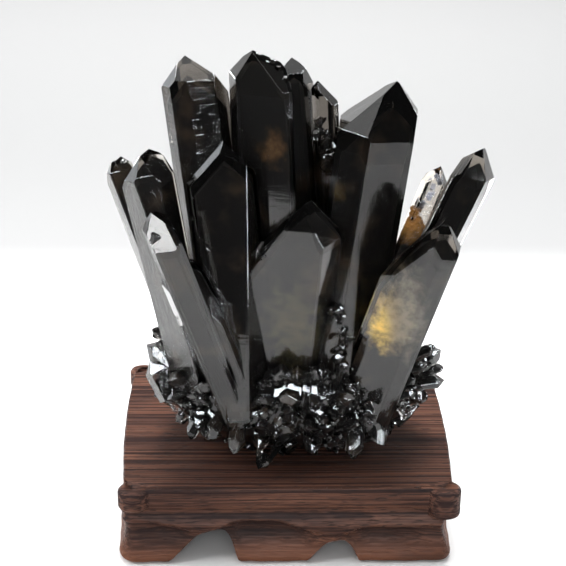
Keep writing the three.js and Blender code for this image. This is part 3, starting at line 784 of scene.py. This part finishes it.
class Nodes:
    """The node tree of a material or a world, with short calls to add and join nodes."""

    def __init__(self, owner, output="ShaderNodeOutputMaterial"):
        owner.use_nodes = True
        self.owner, self.tree = owner, owner.node_tree
        self.tree.nodes.clear()
        self.out = self.add(output)

    def add(self, kind, **settings):
        """A new node. A setting is one of its properties or, with _ for each space, one of its sockets."""
        node = self.tree.nodes.new(kind)
        for key, value in settings.items():
            if hasattr(node, key):
                setattr(node, key, value)
            else:
                node.inputs[key.replace("_", " ")].default_value = value
        return node

    def join(self, source, target):
        self.tree.links.new(source, target)

    def feed(self, socket, value):
        """Gives a socket a number, a colour or a vector, or joins another node's output to it."""
        if isinstance(value, bpy.types.NodeSocket):
            self.join(value, socket)
        elif socket.type == "RGBA":
            socket.default_value = (*value, 1)
        else:
            socket.default_value = value

    def worked(self, kind, operation, values):
        node = self.add(kind, operation=operation)
        for socket, value in zip(node.inputs, values):
            self.feed(socket, value)
        return node.outputs

    def math(self, operation, *values):
        return self.worked("ShaderNodeMath", operation, values)[0]

    def vector(self, operation, *values):
        outputs = self.worked("ShaderNodeVectorMath", operation, values)
        return outputs["Value" if operation in ("DOT_PRODUCT", "LENGTH") else "Vector"]

    def mix(self, factor, a, b):
        node = self.add("ShaderNodeMix", data_type="RGBA")
        for number, value in ((0, factor), (6, a), (7, b)):
            self.feed(node.inputs[number], value)
        return node.outputs[2]

    def ramp(self, value, low, high, to_low, to_high):
        node = self.add("ShaderNodeMapRange", interpolation_type="SMOOTHSTEP", From_Min=low, From_Max=high,
                        To_Min=to_low, To_Max=to_high)
        self.join(value, node.inputs["Value"])
        return node.outputs["Result"]

    def noise(self, place, scale=1, detail=3, rough=0.5):
        node = self.add("ShaderNodeTexNoise", Scale=scale, Detail=detail, Roughness=rough)
        self.join(place, node.inputs["Vector"])
        return node.outputs

    def place(self, kind="Object"):
        return self.add("ShaderNodeTexCoord").outputs[kind]

    def named(self, attribute, output):
        return self.add("ShaderNodeAttribute", attribute_name=attribute).outputs[output]

    def split(self, vector):
        node = self.add("ShaderNodeSeparateXYZ")
        self.join(vector, node.inputs[0])
        return node.outputs

    def bump(self, height, distance, shader):
        node = self.add("ShaderNodeBump", Distance=distance)
        self.join(height, node.inputs["Height"])
        self.join(node.outputs[0], shader.inputs["Normal"])

    def surface(self, shader):
        self.join(shader.outputs[0], self.out.inputs["Surface"])


QUARTZ_IOR = 1.544
SMOKY, CLEAR = ((0.35, 0.31, 0.26), 300), ((0.5, 0.4, 0.25), 80)     # what each absorbs: colour and density


def quartz_material(name, colour, density):
    """Clear quartz, tinted only by what it absorbs on the way through. Growth streaks run along a crystal."""
    n = Nodes(bpy.data.materials.new(name))
    shader = n.add("ShaderNodeBsdfPrincipled", Base_Color=(1, 1, 1, 1), Transmission_Weight=1, IOR=QUARTZ_IOR)
    place = n.place()
    length, width = (n.vector("DOT_PRODUCT", place, n.named(word, "Vector")) for word in ("axis", "across"))
    streak = n.split(n.named("streak", "Vector"))

    def stretched(scale_length, scale_width, detail, rough):
        vector = n.add("ShaderNodeCombineXYZ")
        n.join(n.math("MULTIPLY", length, scale_length), vector.inputs["X"])
        n.join(n.math("MULTIPLY", width, scale_width), vector.inputs["Y"])
        n.join(streak["Y"], vector.inputs["Z"])
        return n.noise(vector.outputs[0], 1, detail, rough)["Fac"]

    grooves = stretched(90, 1600, 3, 0.6)
    steps = stretched(900, 120, 2, 0.5)
    ripple = stretched(130, 130, 1, 0.5)
    streaks = n.math("ADD", n.math("MULTIPLY", grooves, streak["X"]), n.math("MULTIPLY", steps, streak["Z"]))
    n.bump(n.math("ADD", streaks, n.math("MULTIPLY", ripple, 0.25)), 0.0001, shader)
    n.join(n.ramp(grooves, 0.3, 0.7, 0.02, 0.07), shader.inputs["Roughness"])
    absorb = n.add("ShaderNodeVolumeAbsorption", Color=(*colour, 1), Density=density)
    n.surface(shader)
    n.join(absorb.outputs["Volume"], n.out.inputs["Volume"])
    return n.owner


SMOKE_BLACK, SMOKE_BROWN = (0.008, 0.0075, 0.0072), (0.035, 0.024, 0.016)


def heart_material():
    """Nearly black smoky quartz, with cloudy brown tones and patches of painted light, most of them amber."""
    n = Nodes(bpy.data.materials.new("smoky_heart_looks"))
    shader = n.add("ShaderNodeBsdfPrincipled", Roughness=0.6, Specular_IOR_Level=0.05)
    place = n.place()
    cloud = n.noise(place, 240, 5, 0.62)["Fac"]
    drift = n.noise(place, 75, 3)["Fac"]
    colour = n.mix(n.ramp(drift, 0.5, 0.75, 0, 1), SMOKE_BLACK, SMOKE_BROWN)
    grain = n.noise(place, 420, 4, 0.65)["Fac"]
    mottle = n.ramp(grain, 0.32, 0.6, 0.5, 1)
    for centre, size, glow in GLOWS:
        middle = tuple((c + d) * MM for c, d in zip(centre, (CENTRE_SHIFT, 0, 0)))
        offset = n.vector("DIVIDE", n.vector("SUBTRACT", place, middle), tuple(v * MM for v in size))
        wobble = n.math("ADD", n.vector("LENGTH", offset), n.math("MULTIPLY", cloud, 1.3))
        # Painted light: each patch lightens the heart's colour round its place.
        colour = n.mix(n.math("MULTIPLY", n.ramp(wobble, 0.65, 1.75, 1, 0), mottle), colour, glow)
    n.join(colour, shader.inputs["Base Color"])
    n.surface(shader)
    return n.owner


# The wood's colours: its ground from dark to light, its dark lines, its pores, painted shade for its hollows
# and painted floor light for its feet.
WOOD_DEEP, WOOD_PALE, WOOD_LINE = (0.088, 0.039, 0.026), (0.156, 0.069, 0.043), (0.019, 0.0095, 0.0085)
WOOD_PORE, WOOD_PAINTED_SHADE, WOOD_BOUNCE_LIGHT = (0.012, 0.009, 0.009), (0.018, 0.010, 0.009), (0.185, 0.072, 0.038)


def wood_material():
    """Dark rosewood: fine dark lines along the stand, short open pores, painted shade in hollows, painted
    floor light on the feet, a dull oiled finish.
    """
    n = Nodes(bpy.data.materials.new("hardwood_looks"))
    shader = n.add("ShaderNodeBsdfPrincipled", Specular_IOR_Level=0.07)
    place = n.place()

    def stretched(source, scale, detail=1, rough=0.5):
        return n.noise(n.vector("MULTIPLY", source, scale), 1, detail, rough)

    sway = stretched(place, (12, 30, 30), 1, 0.55)["Color"]
    bent = n.vector("ADD", place, n.vector("MULTIPLY", sway, (0.003, 0.003, 0.003)))
    lines, threads, pores = (stretched(bent, scale)["Fac"]
                             for scale in ((2, 760, 760), (6, 1900, 1900), (220, 2400, 2400)))
    tone = stretched(place, (22, 90, 90), 3, 0.55)["Fac"]
    streaks = n.math("MULTIPLY", n.ramp(lines, 0.36, 0.58, 0.1, 1), n.ramp(threads, 0.33, 0.62, 0.3, 1))
    ground = n.mix(n.ramp(tone, 0.36, 0.68, 0, 1), WOOD_DEEP, WOOD_PALE)
    open_pores = n.ramp(pores, 0.3, 0.42, 1, 0)
    pored = n.mix(n.math("MULTIPLY", open_pores, 0.7), n.mix(streaks, WOOD_LINE, ground), WOOD_PORE)
    # Painted shade: darker where the hollow attribute marks the cove, the scoops and the underside.
    painted_shade_colour = n.mix(n.math("MULTIPLY", n.named("hollow", "Fac"), 0.75), pored, WOOD_PAINTED_SHADE)
    # Painted light: lighter and warmer towards the floor, standing in for light bounced from it onto the
    # feet.
    painted_bounce = n.math("MULTIPLY", n.ramp(n.split(place)["Z"], 0.002, 0.010, 0.75, 0),
                  n.ramp(tone, 0.35, 0.6, 0.4, 1))
    n.join(n.mix(painted_bounce, painted_shade_colour, WOOD_BOUNCE_LIGHT), shader.inputs["Base Color"])
    n.join(n.ramp(streaks, 0, 1, 0.6, 0.4), shader.inputs["Roughness"])
    height = n.math("SUBTRACT", n.math("MULTIPLY", streaks, 0.8), n.math("MULTIPLY", open_pores, 0.9))
    n.bump(height, 0.00012, shader)
    n.surface(shader)
    return n.owner


# ---------------------------------------------------------------- the pieces

cluster_mesh, small_hearts = grown_together()
cluster_mesh.name = "crystal_cluster_looks"
cluster = add_object("quartz_cluster", cluster_mesh)
cluster_mesh.materials.clear()
cluster_mesh.materials.append(quartz_material("smoky_quartz_looks", *SMOKY))
mark_faces(cluster_mesh, [key for key in BIG if key != CLEAR_KEY])
clear_point = add_object("clear_point", mesh_from("clear_point", [big_solid(BIG[CLEAR_KEY])]))
clear_point.data.materials.append(quartz_material("clear_quartz_looks", *CLEAR))
mark_faces(clear_point.data, [CLEAR_KEY])
hearts = add_object("dark_hearts", dark_hearts(small_hearts))
hearts.data.materials.clear()
hearts.data.materials.append(heart_material())
for piece in (cluster, clear_point, hearts):
    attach(piece, "root")
    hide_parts("crystal_cluster")
stand = add_object("carved_stand", stand_mesh())
stand.data.materials.append(wood_material())
stand.data.polygons.foreach_set("use_smooth", [len(p.vertices) == 4 for p in stand.data.polygons])
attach(stand, "root")
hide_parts("wooden_stand")


# ---------------------------------------------------------------- stage, lights and camera

# The floor: the near sheet's corners, and how far the far one reaches. Metres, as all of the stage is.
NEAR_FLOOR = ((-0.42, -0.29), (0.42, 0.22))
FAR_FLOOR = ((-4, -4), (4, 4))
# How bright the room is to the camera, to the light it sheds, and in the crystals: low behind, and elsewhere.
ROOM_SEEN, ROOM_SHED, ROOM_BEHIND, ROOM_DIM = 0.86, 0.25, 0.8, 0.06

# The camera: degrees, metres, and a focal length that was read in the photograph's pixels.
AZIMUTH, ELEVATION, ROLL, DISTANCE = -2.08, 28.0, 1.0, 0.499
AIM = (-0.0051, -0.007, 0.0823)
SENSOR = 36
FOCAL_PIXELS, PHOTO_PIXELS = 1639, 566
LENS = FOCAL_PIXELS / PHOTO_PIXELS * SENSOR

# Small lamps that show only as glints: what they face, their distance, side and power, and in degrees how
# far apart they stand and how far they keep from what a large face, a streaked one or the wood mirrors.
# Faces seen flatter than GRAZING don't count.
LAMP_AIM = np.array([0, -0.02, 0.06])
LAMP_COLOUR = (0.9, 0.95, 1)
LAMP_REACH, LAMP_SIZE, LAMP_POWER = 0.8, 0.18, 2.6
LAMP_SPREAD, LAMP_CLEAR, STREAK_CLEAR, WOOD_CLEAR = 24, 8.5, 6, 35
LAMP_STEP = 6
GRAZING = 0.02


def sheet(name, low, high, hole=None):
    """A level sheet on the floor between two corners, with a hole in it between two others."""
    def square(low, high):
        return [(low[0], low[1], 0), (high[0], low[1], 0), (high[0], high[1], 0), (low[0], high[1], 0)]

    corners, faces = square(low, high), [[0, 1, 2, 3]]
    if hole:
        corners += square(*hole)
        faces = [[i, (i + 1) % 4, 4 + (i + 1) % 4, 4 + i] for i in range(4)]
    mesh = bpy.data.meshes.new(name)
    mesh.from_pydata(corners, [], faces)
    return add_object(name, mesh)


def floor_material():
    """A pale floor whose tone drops towards the back, and rises again far off as painted light against the
    lamps' falloff.
    """
    n = Nodes(bpy.data.materials.new("pale_floor"))
    shader = n.add("ShaderNodeBsdfPrincipled", Roughness=0.9)
    depth = n.split(n.place())["Y"]
    # Darker towards the back; far off the tone rises again as painted light that makes up for the lamps'
    # falloff.
    tone = n.math("ADD", n.ramp(depth, 0.12, 0.185, 0.8, 0.32), n.ramp(depth, 0.24, 0.62, 0, 0.22))
    grey = n.add("ShaderNodeCombineColor")
    for channel in ("Red", "Green", "Blue"):
        n.join(tone, grey.inputs[channel])
    n.join(grey.outputs[0], shader.inputs["Base Color"])
    n.surface(shader)
    return n.owner


def world():
    """A white room that is brighter low behind the cluster, and differs in strength by the kind of ray."""
    sky = bpy.data.worlds.new("room")
    bpy.context.scene.world = sky
    n = Nodes(sky, "ShaderNodeOutputWorld")
    back = n.add("ShaderNodeBackground", Color=(1, 1, 1, 1))
    way, ray = n.split(n.place("Generated")), n.add("ShaderNodeLightPath").outputs
    low_behind = n.math("MULTIPLY", n.ramp(way["Y"], 0.15, 0.4, 0, 1), n.ramp(way["Z"], 0.5, 0.75, 1, 0))
    mirrored = n.math("ADD", n.math("MULTIPLY", low_behind, ROOM_BEHIND), ROOM_DIM)
    others = n.math("SUBTRACT", 1, n.math("MAXIMUM", ray["Is Camera Ray"], ray["Is Diffuse Ray"]))
    seen = n.math("MULTIPLY", ray["Is Camera Ray"], ROOM_SEEN)
    shed = n.math("MULTIPLY", ray["Is Diffuse Ray"], ROOM_SHED)
    total = n.math("ADD", n.math("ADD", seen, shed), n.math("MULTIPLY", others, mirrored))
    n.join(total, back.inputs["Strength"])
    n.surface(back)


def area_light(name, place, aim, size, power, colour=(1, 1, 1), hidden=True):
    """A soft light. A hidden one sheds light but shows in no reflection and through no crystal."""
    data = bpy.data.lights.new(name, "AREA")
    data.shape, data.size, data.size_y = "RECTANGLE", size[0], size[1]
    data.energy, data.color = power, colour
    light = add_object(name, data)
    light.location = place
    light.rotation_euler = (Vector(aim) - Vector(place)).to_track_quat("-Z", "Y").to_euler()
    light.visible_camera = False
    if hidden:
        light.visible_glossy = False
        light.visible_transmission = False
    return light


def way_to(azimuth, elevation):
    """The unit vector to an azimuth, counted from -Y towards +X, and an elevation, in degrees."""
    a, e = math.radians(azimuth), math.radians(elevation)
    return np.array([math.sin(a) * math.cos(e), -math.cos(a) * math.cos(e), math.sin(e)])


def lamp_toward(name, way, distance, size, power):
    """A square lamp that shows only in the crystals, seen from the cluster in that direction."""
    place = tuple(np.add(LAMP_AIM, way * distance))
    light = area_light(name, place, LAMP_AIM, (size, size), power, LAMP_COLOUR, False)
    light.visible_diffuse = False


def mirrors():
    """Place of each face of the large crystals that the camera sees, the way in which it mirrors the camera,
    and the angle that a lamp has to keep from that way."""
    eye = (np.array(AIM) + DISTANCE * way_to(AZIMUTH, ELEVATION)) / MM - (CENTRE_SHIFT, 0, 0)
    places, ways, clearances = [], [], []
    for key, shape in BIG.items():
        tip, foot = np.array(shape["tip"], float), np.array(shape["foot"], float)
        for face, normal in enumerate(crystal_planes(**shape)[0]):
            place = tip if 6 <= face < 12 else 0.6 * tip + 0.4 * foot
            to_eye = unit(eye - place)
            facing = normal @ to_eye
            if facing > GRAZING:
                places.append((place + (CENTRE_SHIFT, 0, 0)) * MM)
                ways.append(2 * facing * normal - to_eye)
                clearances.append(LAMP_CLEAR + STREAK_CLEAR * max(STREAKS.get((key, face), (0,))))
    return np.array(places), np.array(ways), np.array(clearances)


def glint_ways():
    """Well spread ways for small lamps that no large face, nor the stand's top, mirrors to the camera."""
    places, mirrored, clearances = mirrors()
    wood = way_to(AZIMUTH + 180, ELEVATION)
    clear = []
    for azimuth in range(-180, 180, LAMP_STEP):
        for elevation in range(-LAMP_STEP, 81, LAMP_STEP):
            way = way_to(azimuth, elevation)
            to_lamp = LAMP_AIM + way * LAMP_REACH - places
            along = (to_lamp * mirrored).sum(1) / np.linalg.norm(to_lamp, axis=1)
            gap = (np.degrees(np.arccos(np.clip(along, -1, 1))) - clearances).min()
            if gap > 0 and way @ wood < math.cos(math.radians(WOOD_CLEAR)):
                clear.append((-gap, azimuth, elevation))
    kept = []
    for _, azimuth, elevation in sorted(clear):
        way = way_to(azimuth, elevation)
        if all(way @ other < math.cos(math.radians(LAMP_SPREAD)) for other in kept):
            kept.append(way)
    return kept


def camera():
    back = Vector(way_to(AZIMUTH, ELEVATION))
    data = bpy.data.cameras.new("camera")
    data.lens, data.sensor_width = LENS, SENSOR
    data.clip_start, data.clip_end = 0.01, 20
    view = add_object("camera", data)
    right = Vector((0, 0, 1)).cross(back).normalized()
    up = back.cross(right)
    r = math.radians(ROLL)
    x, y = right * math.cos(r) + up * math.sin(r), up * math.cos(r) - right * math.sin(r)
    turned = Matrix((x, y, back)).transposed().to_4x4()
    turned.translation = Vector(AIM) + back * DISTANCE
    view.matrix_world = turned
    bpy.context.scene.camera = view


pale = floor_material()
near_floor = sheet("floor_near", *NEAR_FLOOR)
far_floor = sheet("floor_far", *FAR_FLOOR, NEAR_FLOOR)
for ground in (near_floor, far_floor):
    ground.data.materials.append(pale)
far_floor.visible_glossy = False
far_floor.visible_transmission = False
world()
area_light("overhead", place=(0.02, 0.2, 0.62), aim=(0, 0, 0), size=(0.34, 0.26), power=7.4)
area_light("front_fill", place=(0, -0.9, 0.5), aim=(0, 0, 0.03), size=(0.8, 0.5), power=2.3)
area_light("window", place=(-0.486, -0.508, 0.37), aim=(-0.04, -0.03, 0.118), size=(0.05, 0.05), power=0.12,
           hidden=False)
area_light("ceiling", place=(-0.05, 0.065, 0.75), aim=(-0.05, 0.0651, 0), size=(0.8, 0.67), power=3.0,
           hidden=False)
lamp_toward("left_back", way_to(-124, 11), distance=0.9, size=0.6, power=2.8)
area_light("left_wash", place=(-0.5, -0.05, 0.35), aim=(-0.2, -0.02, 0), size=(0.3, 0.3), power=2.2)
for number, way in enumerate(glint_ways()):
    lamp_toward(f"glint_{number}", way, LAMP_REACH, LAMP_SIZE, LAMP_POWER)
camera()
bpy.context.scene.view_settings.view_transform = "Standard"
